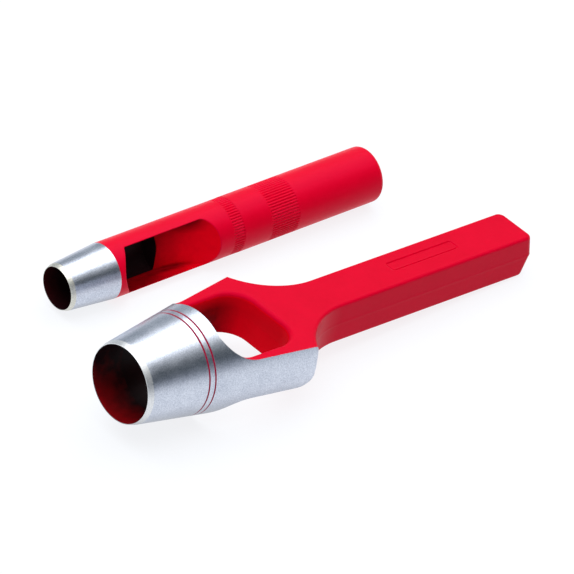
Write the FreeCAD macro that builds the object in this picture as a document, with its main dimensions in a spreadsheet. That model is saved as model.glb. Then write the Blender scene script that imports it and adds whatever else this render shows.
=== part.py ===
import FreeCAD, Part
import math
import os

import Sketcher

# Two hollow punches that lie side by side: an arch punch with a wide cutting cup, and a
# slimmer straight punch. Both cut round holes and washers out of leather, cork or gasket sheet.
#
# Each punch is made in its own frame: the centre of the cutting mouth is the origin, X runs
# along the tool to the end that the hammer strikes, and Z is the normal of the forged flat
# (arch punch) or points out of the slug window (straight punch). The placement of each piece
# then lays the tool on the bench, with Z up and the bench at zero.

SIZES = [
    # arch punch, cutting cup
    ("arch_bore", 25.0),
    ("arch_land_length", 12.0),
    ("arch_relief_bore", 27.0),
    ("arch_lip_width", 0.15),
    ("arch_bevel_length", 1.4),
    ("arch_bevel_rise", 0.56),
    ("arch_cup_length", 28.4),
    # arch punch, red ring marks in the cup
    ("ring_rear_margin", 4.75),
    ("ring_spacing", 2.15),
    ("ring_width", 0.55),
    ("ring_depth", 0.25),
    ("ring_sink", 0.05),
    # arch punch, forged flat and window
    ("flat_thickness", 14.4),
    ("root_radius", 11.5),
    ("window_width", 29.2),
    ("window_length", 30.8),
    ("window_front_radius", 7.5),
    ("window_rear_radius", 8.5),
    ("arm_wall", 4.94),
    ("arm_margin", 0.7),
    ("edge_break", 0.8),
    # arch punch, neck and shank
    ("shoulder_margin", 1.5),
    ("neck_radius", 25.4),
    ("shank_width", 15.4),
    ("shank_flare", 0.0012),
    ("arch_length", 167.15),
    ("end_length", 19.0),
    ("end_slope_depth", 1.6),
    ("end_corner_radius", 2.5),
    ("plate_length", 28.4),
    ("plate_width", 4.6),
    ("plate_corner_radius", 1.2),
    ("plate_depth", 0.35),
    ("plate_place", 110.8),
    ("plate_offset", 0.9),
    # straight punch, cutting tip
    ("tip_bore", 14.0),
    ("tip_land_length", 10.0),
    ("tip_relief_bore", 15.0),
    ("tip_lip_width", 0.12),
    ("tip_bevel_length", 1.2),
    ("tip_bevel_rise", 0.56),
    ("tip_length", 18.0),
    # straight punch, barrel and window
    ("barrel_diameter", 18.3),
    ("relief_margin", 0.4),
    ("drill_point_length", 3.0),
    ("slot_front_margin", 5.1),
    ("slot_width", 15.8),
    ("slot_floor_depth", 2.3),
    ("slot_ramp_radius", 23.0),
    ("slot_floor_length", 14.5),
    ("slot_turn", 76.0),
    # straight punch, grip bands and end
    ("grip_rise", 0.05),
    ("band_front_margin", 44.95),
    ("band_front_length", 4.3),
    ("band_gap", 10.85),
    ("band_rear_length", 11.25),
    ("groove_count", 61),
    ("groove_width", 0.56),
    ("groove_depth", 0.3),
    ("straight_length", 124.0),
    ("end_round_radius", 1.8),
    # how the pair lies
    ("straight_ahead", 24.49),
    ("straight_aside", 56.81),
    ("straight_turn", -2.776),
]


class Term:
    """A number together with the formula that gives it, so that a sketch stays bound to the sheet."""

    def __init__(self, value, text):
        self.value = value
        self.text = text

    def __add__(self, other):
        other = as_term(other)
        return Term(self.value + other.value, "(%s + %s)" % (self.text, other.text))

    def __sub__(self, other):
        other = as_term(other)
        return Term(self.value - other.value, "(%s - %s)" % (self.text, other.text))

    def __mul__(self, other):
        other = as_term(other)
        return Term(self.value * other.value, "(%s * %s)" % (self.text, other.text))

    def __truediv__(self, other):
        other = as_term(other)
        return Term(self.value / other.value, "(%s / %s)" % (self.text, other.text))

    def __neg__(self):
        return Term(-self.value, "(0 - %s)" % self.text)


def as_term(thing):
    """Gives a plain number the form of a term."""
    if isinstance(thing, Term):
        return thing
    return Term(float(thing), repr(float(thing)))


def root(term):
    """The square root of a term."""
    return Term(math.sqrt(term.value), "sqrt(%s)" % term.text)


doc = FreeCAD.newDocument("hollow_punches")
sheet = doc.addObject("Spreadsheet::Sheet", "sizes")
for row, (alias, number) in enumerate(SIZES, start=1):
    sheet.set("A%d" % row, alias)
    sheet.set("B%d" % row, str(number))
    sheet.setAlias("B%d" % row, alias)
doc.recompute()


def size(alias):
    """The term of one cell of the sheet."""
    return Term(float(sheet.get(alias)), "sizes.%s" % alias)


# Radii and places that follow from the sizes
arch_bore_radius = size("arch_bore") / 2
arch_relief_radius = size("arch_relief_bore") / 2
bevel_radius = arch_bore_radius + size("arch_lip_width") + size("arch_bevel_rise")
flat_half = size("flat_thickness") / 2
window_half = size("window_width") / 2
shank_half = size("shank_width") / 2
cup_end = size("arch_cup_length")
window_rear = cup_end + size("window_length")
ring_rear = cup_end - size("ring_rear_margin")
ring_front = ring_rear - size("ring_spacing")
arm_end = window_rear - size("window_rear_radius") - size("arm_margin")
shoulder = window_rear + size("shoulder_margin")
arch_end = size("arch_length")
tip_bore_radius = size("tip_bore") / 2
tip_relief_radius = size("tip_relief_bore") / 2
barrel_radius = size("barrel_diameter") / 2
grip_radius = barrel_radius + size("grip_rise")
tip_end = size("tip_length")
slot_front = tip_end + size("slot_front_margin")
slot_ramp = slot_front + size("slot_floor_length")
relief_end = slot_ramp + size("relief_margin")
band_front = tip_end + size("band_front_margin")
band_front_end = band_front + size("band_front_length")
band_rear = band_front_end + size("band_gap")
band_rear_end = band_rear + size("band_rear_length")

# Room by which a cut runs past the stock that it cuts
PAST = 6.0


# The turned outside widens evenly, so that beside the middle of the window an arm has its full wall
window_middle = cup_end + size("window_length") / 2
turned_rise = window_half + size("arm_wall") - bevel_radius
turned_run = window_middle - size("arch_bevel_length")


def turned_radius(place):
    """Radius of the arch punch's turned outside at a place along its axis."""
    return bevel_radius + turned_rise * (place - size("arch_bevel_length")) / turned_run


# The neck is one large concave arc on each side, tangent to the shank
neck_across = shank_half + size("neck_radius")
shoulder_radius = turned_radius(shoulder)
shoulder_drop = neck_across - shoulder_radius
neck_end = shoulder + root(
    size("neck_radius") * size("neck_radius") - shoulder_drop * shoulder_drop
)
shank_end = arch_end - size("end_length")
shank_rear_half = shank_half + size("shank_flare") * (shank_end - neck_end)
end_half = shank_half + size("shank_flare") * (arch_end - neck_end)

nodes = []


def plane_of(body, role):
    """One of the body's own origin planes."""
    return [item for item in body.Origin.OriginFeatures if item.Role == role][0]


def new_body(name):
    """A body that becomes one piece and one file."""
    body = doc.addObject("PartDesign::Body", name)
    body.Label = name
    nodes.append(body)
    return body


def new_sketch(body, role, name):
    """A sketch on one of the body's origin planes."""
    sketch = body.newObject("Sketcher::SketchObject", name)
    sketch.AttachmentSupport = (plane_of(body, role), [""])
    sketch.MapMode = "FlatFace"
    return sketch


def bind(sketch, kind, geometry, point, term):
    """Holds one coordinate of a point to its formula."""
    index = sketch.addConstraint(Sketcher.Constraint(kind, -1, 1, geometry, point, term.value))
    sketch.setExpression("Constraints[%d]" % index, term.text)


def outline(sketch, corners):
    """Draws a closed outline. A corner is (x, y), or (x, y, centre_x, centre_y, radius, turn)
    where the stretch to the next corner is an arc and turn is +1 for anticlockwise."""
    first = sketch.GeometryCount
    count = len(corners)
    for number, corner in enumerate(corners):
        following = corners[(number + 1) % count]
        start = FreeCAD.Vector(as_term(corner[0]).value, as_term(corner[1]).value, 0)
        stop = FreeCAD.Vector(as_term(following[0]).value, as_term(following[1]).value, 0)
        if len(corner) == 2:
            sketch.addGeometry(Part.LineSegment(start, stop), False)
            continue
        centre = FreeCAD.Vector(as_term(corner[2]).value, as_term(corner[3]).value, 0)
        circle = Part.Circle(centre, FreeCAD.Vector(0, 0, 1), as_term(corner[4]).value)
        from_start = math.atan2(start.y - centre.y, start.x - centre.x)
        from_stop = math.atan2(stop.y - centre.y, stop.x - centre.x)
        if corner[5] > 0:
            sketch.addGeometry(Part.ArcOfCircle(circle, from_start, from_stop), False)
        else:
            sketch.addGeometry(Part.ArcOfCircle(circle, from_stop, from_start), False)
    for number, corner in enumerate(corners):
        here = first + number
        there = first + (number + 1) % count
        turned = len(corner) == 6 and corner[5] < 0
        next_corner = corners[(number + 1) % count]
        next_turned = len(next_corner) == 6 and next_corner[5] < 0
        end_point = 1 if turned else 2
        start_point = 2 if next_turned else 1
        sketch.addConstraint(Sketcher.Constraint("Coincident", here, end_point, there, start_point))
    for number, corner in enumerate(corners):
        here = first + number
        start_point = 2 if len(corner) == 6 and corner[5] < 0 else 1
        bind(sketch, "DistanceX", here, start_point, as_term(corner[0]))
        bind(sketch, "DistanceY", here, start_point, as_term(corner[1]))
        if len(corner) == 6:
            radius = as_term(corner[4])
            index = sketch.addConstraint(Sketcher.Constraint("Radius", here, radius.value))
            sketch.setExpression("Constraints[%d]" % index, radius.text)


def turn_about_axis(body, sketch, kind, name):
    """Revolves a profile about the tool's axis, to add stock or to cut it."""
    feature = body.newObject("PartDesign::%s" % kind, name)
    feature.Profile = sketch
    feature.ReferenceAxis = (sketch, ["H_Axis"])
    feature.Angle = 360.0
    sketch.Visibility = False
    return feature


def cut_through(body, sketch, name):
    """Cuts an outline right through the stock, both ways from its plane."""
    pocket = body.newObject("PartDesign::Pocket", name)
    pocket.Profile = sketch
    pocket.Type = "ThroughAll"
    pocket.Midplane = True
    return pocket


def cut_both_ways(body, sketch, name, length):
    """Cuts an outline to a whole depth that is shared by both sides of its plane."""
    pocket = body.newObject("PartDesign::Pocket", name)
    pocket.Profile = sketch
    pocket.Type = "Length"
    pocket.Midplane = True
    pocket.setExpression("Length", length.text)
    return pocket


def pad_both_ways(body, sketch, name, length):
    """Raises an outline to a whole thickness that is shared by both sides of its plane."""
    pad = body.newObject("PartDesign::Pad", name)
    pad.Profile = sketch
    pad.Type = "Length"
    pad.Midplane = True
    pad.setExpression("Length", length.text)
    return pad


def near(value, target):
    """Whether two lengths are the same but for rounding."""
    return abs(value - target) < 1e-4


def edges_where(feature, test):
    """Names of the edges of a feature whose bounding box passes a test."""
    found = []
    for number, edge in enumerate(feature.Shape.Edges, start=1):
        if test(edge.BoundBox):
            found.append("Edge%d" % number)
    return found


def break_edges(body, feature, names, name):
    """Breaks the named edges of a feature."""
    chamfer = body.newObject("PartDesign::Chamfer", name)
    chamfer.Base = (feature, names)
    chamfer.setExpression("Size", size("edge_break").text)
    return chamfer


def turned_solid(body, name, profile):
    """A turned piece from its half profile, given as points (x, radius)."""
    sketch = new_sketch(body, "XZ_Plane", name + "_profile")
    outline(sketch, profile)
    return turn_about_axis(body, sketch, "Revolution", name + "_turned")


# Cutting cup of the arch punch, ground outside, with a parallel land behind the edge
def make_cutting_cup():
    body = new_body("arch_cutting_cup")
    turned_solid(
        body,
        "cup",
        [
            (0, arch_bore_radius),
            (size("arch_land_length"), arch_bore_radius),
            (size("arch_land_length"), arch_relief_radius),
            (cup_end, arch_relief_radius),
            (cup_end, turned_radius(cup_end)),
            (size("arch_bevel_length"), bevel_radius),
            (0, arch_bore_radius + size("arch_lip_width")),
        ],
    )
    marks = new_sketch(body, "XZ_Plane", "ring_grooves_profile")
    for place in (ring_front, ring_rear):
        outline(marks, ring_section(place, size("ring_depth"), -as_term(1.0)))
    turn_about_axis(body, marks, "Groove", "ring_grooves")


def ring_section(place, depth, sink):
    """Section of a ring groove or of its filling, under the cone by depth and sunk by sink."""
    behind = place + size("ring_width")
    return [
        (place, turned_radius(place) - depth),
        (behind, turned_radius(behind) - depth),
        (behind, turned_radius(behind) - sink),
        (place, turned_radius(place) - sink),
    ]


# The two red rings, lacquer that fills the grooves and lies just under the ground surface
def make_ring_mark(name, place):
    body = new_body(name)
    turned_solid(body, name, ring_section(place, size("ring_depth"), size("ring_sink")))


# One arm of the arch: part of the turned cone, its flats run out of the cup by a large radius
def make_arm(name, side):
    body = new_body(name)
    turned_solid(
        body,
        "arm",
        [
            (cup_end, 0),
            (arm_end, 0),
            (arm_end, turned_radius(arm_end)),
            (cup_end, turned_radius(cup_end)),
        ],
    )
    flats = new_sketch(body, "XZ_Plane", "flats_profile")
    high = turned_radius(arm_end) + PAST
    root_top = flat_half + size("root_radius")
    root_end = cup_end + size("root_radius")
    outline(
        flats,
        [
            (cup_end, root_top, root_end, root_top, size("root_radius"), 1),
            (root_end, flat_half),
            (arm_end + PAST, flat_half),
            (arm_end + PAST, high),
            (cup_end, high),
        ],
    )
    outline(
        flats,
        [
            (root_end, -flat_half, root_end, -root_top, size("root_radius"), 1),
            (cup_end, -root_top),
            (cup_end, -high),
            (arm_end + PAST, -high),
            (arm_end + PAST, -flat_half),
        ],
    )
    cut_through(body, flats, "flats")
    window = new_sketch(body, "XY_Plane", "window_outline")
    radius = size("window_front_radius")
    corner_across = window_half - radius
    far_across = -high
    if side > 0:
        outline(
            window,
            [
                (cup_end + radius, window_half, cup_end + radius, corner_across, radius, 1),
                (cup_end, corner_across),
                (cup_end - PAST, corner_across),
                (cup_end - PAST, far_across),
                (arm_end + PAST, far_across),
                (arm_end + PAST, window_half),
            ],
        )
    else:
        outline(
            window,
            [
                (cup_end, -corner_across, cup_end + radius, -corner_across, radius, 1),
                (cup_end + radius, -window_half),
                (arm_end + PAST, -window_half),
                (arm_end + PAST, -far_across),
                (cup_end - PAST, -far_across),
                (cup_end - PAST, -corner_across),
            ],
        )
    cut_through(body, window, "window")
    mouth = new_sketch(body, "XZ_Plane", "bore_run_out")
    bore_end = cup_end + radius
    outline(
        mouth,
        [
            (cup_end - PAST, 0),
            (bore_end, 0),
            (bore_end, arch_relief_radius),
            (cup_end - PAST, arch_relief_radius),
        ],
    )
    pocket = turn_about_axis(body, mouth, "Groove", "bore")
    doc.recompute()
    inner = side * window_half.value
    names = edges_where(
        pocket,
        lambda box: near(box.YMin, inner)
        and near(box.YMax, inner)
        and near(box.ZMin, box.ZMax)
        and near(abs(box.ZMin), flat_half.value),
    )
    break_edges(body, pocket, names, "window_edges")


# Bridge behind the window: the arms meet here and narrow to the shank in two concave arcs
def make_bridge():
    body = new_body("arch_bridge")
    plan = new_sketch(body, "XY_Plane", "bridge_outline")
    radius = size("window_rear_radius")
    rear = window_rear
    wide = shoulder_radius + 2
    drop = neck_across - wide
    start = neck_end - root(size("neck_radius") * size("neck_radius") - drop * drop)
    outline(
        plan,
        [
            (arm_end, window_half),
            (arm_end, wide),
            (start, wide, neck_end, neck_across, size("neck_radius"), 1),
            (neck_end, shank_half),
            (neck_end, -shank_half, neck_end, -neck_across, size("neck_radius"), 1),
            (start, -wide),
            (arm_end, -wide),
            (arm_end, -window_half),
            (rear - radius, -window_half, rear - radius, radius - window_half, radius, 1),
            (rear, radius - window_half),
            (rear, window_half - radius, rear - radius, window_half - radius, radius, 1),
            (rear - radius, window_half),
        ],
    )
    pad_both_ways(body, plan, "bridge_flat", size("flat_thickness"))
    turned = new_sketch(body, "XZ_Plane", "turned_outside")
    beyond = shoulder + PAST / 2
    outline(
        turned,
        [
            (arm_end - PAST, turned_radius(arm_end - PAST)),
            (beyond, turned_radius(beyond)),
            (beyond, turned_radius(beyond) + PAST),
            (arm_end - PAST, turned_radius(beyond) + PAST),
        ],
    )
    groove = turn_about_axis(body, turned, "Groove", "turned_cut")
    doc.recompute()

    def broken(box):
        level = near(box.ZMin, box.ZMax) and near(abs(box.ZMin), flat_half.value)
        in_window = box.XMax < rear.value + 1e-3 and max(abs(box.YMin), abs(box.YMax)) < window_half.value + 1e-3
        on_neck = near(box.XMax, neck_end.value) and not near(box.XMin, box.XMax)
        on_joint = near(box.XMin, arm_end.value) and near(box.XMax, arm_end.value)
        return level and not on_joint and (in_window or on_neck)

    break_edges(body, groove, edges_where(groove, broken), "bridge_edges")


# Shank that the hand holds, with a bare plate sunk in its upper side
def make_shank():
    body = new_body("arch_shank")
    plan = new_sketch(body, "XY_Plane", "shank_outline")
    outline(
        plan,
        [
            (neck_end, -shank_half),
            (shank_end, -shank_rear_half),
            (shank_end, shank_rear_half),
            (neck_end, shank_half),
        ],
    )
    bar = pad_both_ways(body, plan, "shank_bar", size("flat_thickness"))
    doc.recompute()

    def broken(box):
        level = near(box.ZMin, box.ZMax) and near(abs(box.ZMin), flat_half.value)
        return level and not near(box.XMin, box.XMax)

    break_edges(body, bar, edges_where(bar, broken), "shank_edges")
    plate = new_sketch(body, "XY_Plane", "plate_outline")
    plate.AttachmentOffset = FreeCAD.Placement(FreeCAD.Vector(0, 0, flat_half.value), FreeCAD.Rotation())
    plate.setExpression("AttachmentOffset.Base.z", flat_half.text)
    radius = size("plate_corner_radius")
    low = size("plate_offset") - size("plate_width") / 2
    high = size("plate_offset") + size("plate_width") / 2
    front = size("plate_place")
    rear = size("plate_place") + size("plate_length")
    outline(
        plate,
        [
            (front + radius, low),
            (rear - radius, low, rear - radius, low + radius, radius, 1),
            (rear, low + radius),
            (rear, high - radius, rear - radius, high - radius, radius, 1),
            (rear - radius, high),
            (front + radius, high, front + radius, high - radius, radius, 1),
            (front, high - radius),
            (front, low + radius, front + radius, low + radius, radius, 1),
        ],
    )
    pocket = body.newObject("PartDesign::Pocket", "plate")
    pocket.Profile = plate
    pocket.Type = "Length"
    pocket.setExpression("Length", size("plate_depth").text)


# End that the hammer strikes: its face slopes off above and below the forging's parting line
def make_striking_end():
    body = new_body("arch_striking_end")
    plan = new_sketch(body, "XY_Plane", "end_outline")
    radius = size("end_corner_radius")
    across = end_half - radius
    outline(
        plan,
        [
            (shank_end, -shank_rear_half),
            (arch_end - radius, -end_half, arch_end - radius, -across, radius, 1),
            (arch_end, -across),
            (arch_end, across, arch_end - radius, across, radius, 1),
            (arch_end - radius, end_half),
            (shank_end, shank_rear_half),
        ],
    )
    pad_both_ways(body, plan, "end_block", size("flat_thickness"))
    slopes = new_sketch(body, "XZ_Plane", "end_slopes")
    edge = arch_end - size("end_slope_depth")
    for side in (1, -1):
        corners = [(arch_end, 0), (edge, flat_half * side), (arch_end, flat_half * side)]
        if side < 0:
            corners.reverse()
        outline(slopes, corners)
    pocket = cut_through(body, slopes, "slopes")
    doc.recompute()

    def broken(box):
        level = near(box.ZMin, box.ZMax) and near(abs(box.ZMin), flat_half.value)
        return level and not (near(box.XMin, shank_end.value) and near(box.XMax, shank_end.value))

    break_edges(body, pocket, edges_where(pocket, broken), "end_edges")


# Cutting tip of the straight punch
def make_cutting_tip():
    body = new_body("straight_cutting_tip")
    turned_solid(
        body,
        "tip",
        [
            (0, tip_bore_radius),
            (size("tip_land_length"), tip_bore_radius),
            (size("tip_land_length"), tip_relief_radius),
            (tip_end, tip_relief_radius),
            (tip_end, barrel_radius),
            (size("tip_bevel_length"), tip_bore_radius + size("tip_lip_width") + size("tip_bevel_rise")),
            (0, tip_bore_radius + size("tip_lip_width")),
        ],
    )


# Barrel with the slug window: the slot's floor rises to the outside in one long arc
def make_window_barrel():
    body = new_body("straight_window_barrel")
    turned_solid(
        body,
        "barrel",
        [
            (tip_end, 0),
            (band_front, 0),
            (band_front, barrel_radius),
            (tip_end, barrel_radius),
        ],
    )
    bore = new_sketch(body, "XZ_Plane", "relief_profile")
    outline(
        bore,
        [
            (tip_end, 0),
            (relief_end + size("drill_point_length"), 0),
            (relief_end, tip_relief_radius),
            (tip_end, tip_relief_radius),
        ],
    )
    turn_about_axis(body, bore, "Groove", "relief_bore")
    slot = new_sketch(body, "XZ_Plane", "slot_profile")
    ramp = size("slot_ramp_radius")
    floor = -size("slot_floor_depth")
    top = barrel_radius + 2
    rise = ramp - (top - floor)
    reach = slot_ramp + root(ramp * ramp - rise * rise)
    outline(
        slot,
        [
            (slot_front, floor),
            (slot_ramp, floor, slot_ramp, floor + ramp, ramp, 1),
            (reach, top),
            (slot_front, top),
        ],
    )
    cut_both_ways(body, slot, "slot", size("slot_width"))


def make_band(name, place, length, radius):
    """A turned band with fine grooves along the axis, cut once and repeated round it."""
    body = new_body(name)
    behind = place + length
    turned_solid(body, name, [(place, 0), (behind, 0), (behind, radius), (place, radius)])
    groove = new_sketch(body, "YZ_Plane", name + "_groove_section")
    half = size("groove_width") / 2
    lift = size("groove_depth")
    outline(groove, [(0, radius - lift), (half * 2, radius + lift), (-half * 2, radius + lift)])
    groove.AttachmentOffset = FreeCAD.Placement(FreeCAD.Vector(0, 0, place.value), FreeCAD.Rotation())
    groove.setExpression("AttachmentOffset.Base.z", place.text)
    pocket = body.newObject("PartDesign::Pocket", name + "_groove")
    pocket.Profile = groove
    pocket.Type = "Length"
    pocket.Reversed = True
    pocket.setExpression("Length", length.text)
    pattern = body.newObject("PartDesign::PolarPattern", name + "_grooves")
    pattern.Originals = [pocket]
    pattern.Axis = (plane_axis(body), [""])
    pattern.Angle = 360.0
    pattern.setExpression("Occurrences", size("groove_count").text)
    body.Tip = pattern


def plane_axis(body):
    """The body's own X axis."""
    return [item for item in body.Origin.OriginFeatures if item.Role == "X_Axis"][0]


def make_plain_barrel():
    body = new_body("straight_mid_barrel")
    across = [(band_front_end, 0), (band_rear, 0), (band_rear, grip_radius), (band_front_end, grip_radius)]
    turned_solid(body, "mid", across)


# Plain end that the hammer strikes, with a rounded edge
def make_round_end():
    body = new_body("straight_striking_end")
    rear = size("straight_length")
    radius = size("end_round_radius")
    # Two short cones stand for the rounded edge, each an eighth of a turn of it
    eighth = radius * (1 - math.sqrt(0.5))
    turned_solid(
        body,
        "end",
        [
            (band_rear_end, 0),
            (rear, 0),
            (rear, grip_radius - radius),
            (rear - eighth, grip_radius - eighth),
            (rear - radius, grip_radius),
            (band_rear_end, grip_radius),
        ],
    )


def resting_tilt():
    """Angle by which the arch punch dips to its struck end, lying on its cup and its rear lower edge."""
    foot = arch_end - size("end_slope_depth") - size("edge_break")
    return math.atan2((turned_radius(cup_end) - flat_half).value, (foot - cup_end).value)


def lay_down():
    """Lays both tools on the bench and puts the origin under the middle of the pair."""
    tilt = resting_tilt()
    cup_round = turned_radius(cup_end).value
    lift = cup_end.value * math.sin(tilt) + cup_round * math.cos(tilt)
    arch_turn = FreeCAD.Rotation(FreeCAD.Vector(0, 1, 0), math.degrees(tilt))
    arch_place = FreeCAD.Placement(FreeCAD.Vector(0, 0, lift), arch_turn)
    own_turn = FreeCAD.Rotation(FreeCAD.Vector(1, 0, 0), size("slot_turn").value)
    bench_turn = FreeCAD.Rotation(FreeCAD.Vector(0, 0, 1), size("straight_turn").value)
    aside = FreeCAD.Vector(size("straight_ahead").value, size("straight_aside").value, grip_radius.value)
    straight_place = FreeCAD.Placement(aside, bench_turn.multiply(own_turn))
    box = FreeCAD.BoundBox()
    for body in nodes:
        body.Placement = arch_place if body.Name.startswith("arch") else straight_place
        box.add(body.Shape.optimalBoundingBox())
    middle = FreeCAD.Vector(box.Center.x, box.Center.y, 0)
    for body in nodes:
        body.Placement = FreeCAD.Placement(body.Placement.Base - middle, body.Placement.Rotation)


make_cutting_cup()
make_ring_mark("arch_front_ring_mark", ring_front)
make_ring_mark("arch_rear_ring_mark", ring_rear)
make_arm("arch_far_arm", 1)
make_arm("arch_near_arm", -1)
make_bridge()
make_shank()
make_striking_end()
make_cutting_tip()
make_window_barrel()
make_band("straight_front_grip_band", band_front, size("band_front_length"), barrel_radius)
make_plain_barrel()
make_band("straight_rear_grip_band", band_rear, size("band_rear_length"), grip_radius)
make_round_end()
doc.recompute()
lay_down()
doc.recompute()

# Every feature has to be sound before any file is written
for item in doc.Objects:
    if "Invalid" in item.State or "Error" in item.State:
        raise RuntimeError("failed: %s %s" % (item.Name, item.State))
for body in nodes:
    if body.Shape.isNull() or not body.Shape.isValid():
        raise RuntimeError("bad shape: %s" % body.Name)
    if len(body.Shape.Solids) != 1:
        raise RuntimeError("%s is %d solids" % (body.Name, len(body.Shape.Solids)))

os.makedirs("parts", exist_ok=True)
for body in nodes:
    body.Shape.exportStep(os.path.join("parts", body.Label + ".step"))
    box = body.Shape.optimalBoundingBox()
    print(
        "%-26s volume %9.1f  x %.2f..%.2f  y %.2f..%.2f  z %.2f..%.2f"
        % (body.Label, body.Shape.Volume, box.XMin, box.XMax, box.YMin, box.YMax, box.ZMin, box.ZMax)
    )
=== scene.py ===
"""Dresses two hollow punches for a studio picture: a forged arch punch and a slim straight punch."""

from __future__ import annotations

import logging
import math
from collections.abc import Callable
from dataclasses import dataclass
from enum import Enum

import bmesh
import bpy
import numpy as np
from mathutils import Matrix, Vector

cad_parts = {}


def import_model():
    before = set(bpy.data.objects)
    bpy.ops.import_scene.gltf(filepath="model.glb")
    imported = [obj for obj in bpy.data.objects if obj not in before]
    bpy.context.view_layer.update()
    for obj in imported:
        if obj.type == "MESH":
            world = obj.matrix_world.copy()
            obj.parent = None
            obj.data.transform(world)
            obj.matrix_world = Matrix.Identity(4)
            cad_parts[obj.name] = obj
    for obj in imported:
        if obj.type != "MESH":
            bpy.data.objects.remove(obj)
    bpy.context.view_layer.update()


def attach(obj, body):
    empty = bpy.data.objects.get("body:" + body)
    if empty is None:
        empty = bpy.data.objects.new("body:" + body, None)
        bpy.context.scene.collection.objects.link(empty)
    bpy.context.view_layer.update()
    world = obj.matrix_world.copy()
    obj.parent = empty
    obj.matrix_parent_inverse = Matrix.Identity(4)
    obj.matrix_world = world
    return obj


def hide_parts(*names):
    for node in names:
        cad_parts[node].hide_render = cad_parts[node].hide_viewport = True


LOG = logging.getLogger("hollow_punches")

SOFT_CORNER = math.radians(22.0)
SHARP_EDGE = math.radians(28.0)

Distance = Callable[[np.ndarray], np.ndarray]
Profile = list[tuple[float, float]]
Colour = tuple[float, float, float, float]
Triple = tuple[float, float, float]


class Tool(Enum):
    """The two tools, each a rigid body of its own."""

    ARCH = "arch_punch"
    STRAIGHT = "straight_punch"


class Slot(Enum):
    """Material slots of the record. New pieces are built with one, which nothing reads."""

    STEEL = "ground_steel"
    LACQUER = "red_lacquer"


@dataclass(frozen=True)
class Lie:
    """How a tool lies on the bench. Its own frame is in millimetres from its mouth's centre."""

    mouth: Triple
    dip: float = 0.0
    yaw: float = 0.0
    roll: float = 0.0

    def matrix(self) -> Matrix:
        """Own frame in millimetres to the row frame in metres.

        Returns:
            The turn, move and scale as one matrix.
        """
        place = Matrix.Translation(Vector(self.mouth) / 1000.0)
        turn = Matrix.Rotation(math.radians(self.yaw), 4, "Z")
        turn = turn @ Matrix.Rotation(math.radians(self.dip), 4, "Y")
        turn = turn @ Matrix.Rotation(math.radians(self.roll), 4, "X")
        return place @ turn @ Matrix.Scale(0.001, 4)

    def points(self, own: np.ndarray) -> np.ndarray:
        """Moves points from the tool's own frame to the row frame."""
        m = np.array(self.matrix())
        return own @ m[:3, :3].T + m[:3, 3]

    def directions(self, own: np.ndarray) -> np.ndarray:
        """Turns directions from the tool's own frame to the row frame."""
        m = np.array(self.matrix())[:3, :3] * 1000.0
        return own @ m.T


def round_and(a: np.ndarray, b: np.ndarray, radius: float) -> np.ndarray:
    """What two solids share, with the edge between them rounded.

    Args:
        a: Signed distance to the first solid, negative inside.
        b: Signed distance to the second solid.
        radius: Radius of the rounded edge.

    Returns:
        Signed distance to the shared solid.
    """
    inner = np.minimum(-radius, np.maximum(a, b))
    return inner + np.hypot(np.maximum(a + radius, 0.0), np.maximum(b + radius, 0.0))


def corner_cut(along: np.ndarray, across: np.ndarray, radius: float) -> np.ndarray:
    """Signed distance to a quarter plane that is cut away with a round inner corner.

    Args:
        along: How far a point is short of the corner arc's centre in one direction.
        across: The same in the other direction.
        radius: Radius of the corner.

    Returns:
        Distance to the cut region, negative inside it.
    """
    arc = np.hypot(along, across)
    return np.where((along > 0) & (across > 0), arc, np.maximum(along, across)) - radius


def smooth_step(value: np.ndarray) -> np.ndarray:
    """Eases from 0 to 1 as the value goes from 0 to 1."""
    t = np.clip(value, 0.0, 1.0)
    return t * t * (3.0 - 2.0 * t)


def gradient(field: Distance, points: np.ndarray, reach: float = 0.02) -> np.ndarray:
    """Unit direction in which a field grows fastest, at each point.

    Args:
        field: Signed distance.
        points: Where it is wanted.
        reach: Half the step that it is measured over.

    Returns:
        One direction for each point.
    """
    out = np.empty_like(points)
    for axis in range(3):
        step = np.zeros(3)
        step[axis] = reach
        out[..., axis] = field(points + step) - field(points - step)
    return out / np.maximum(np.linalg.norm(out, axis=-1, keepdims=True), 1e-12)


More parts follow.
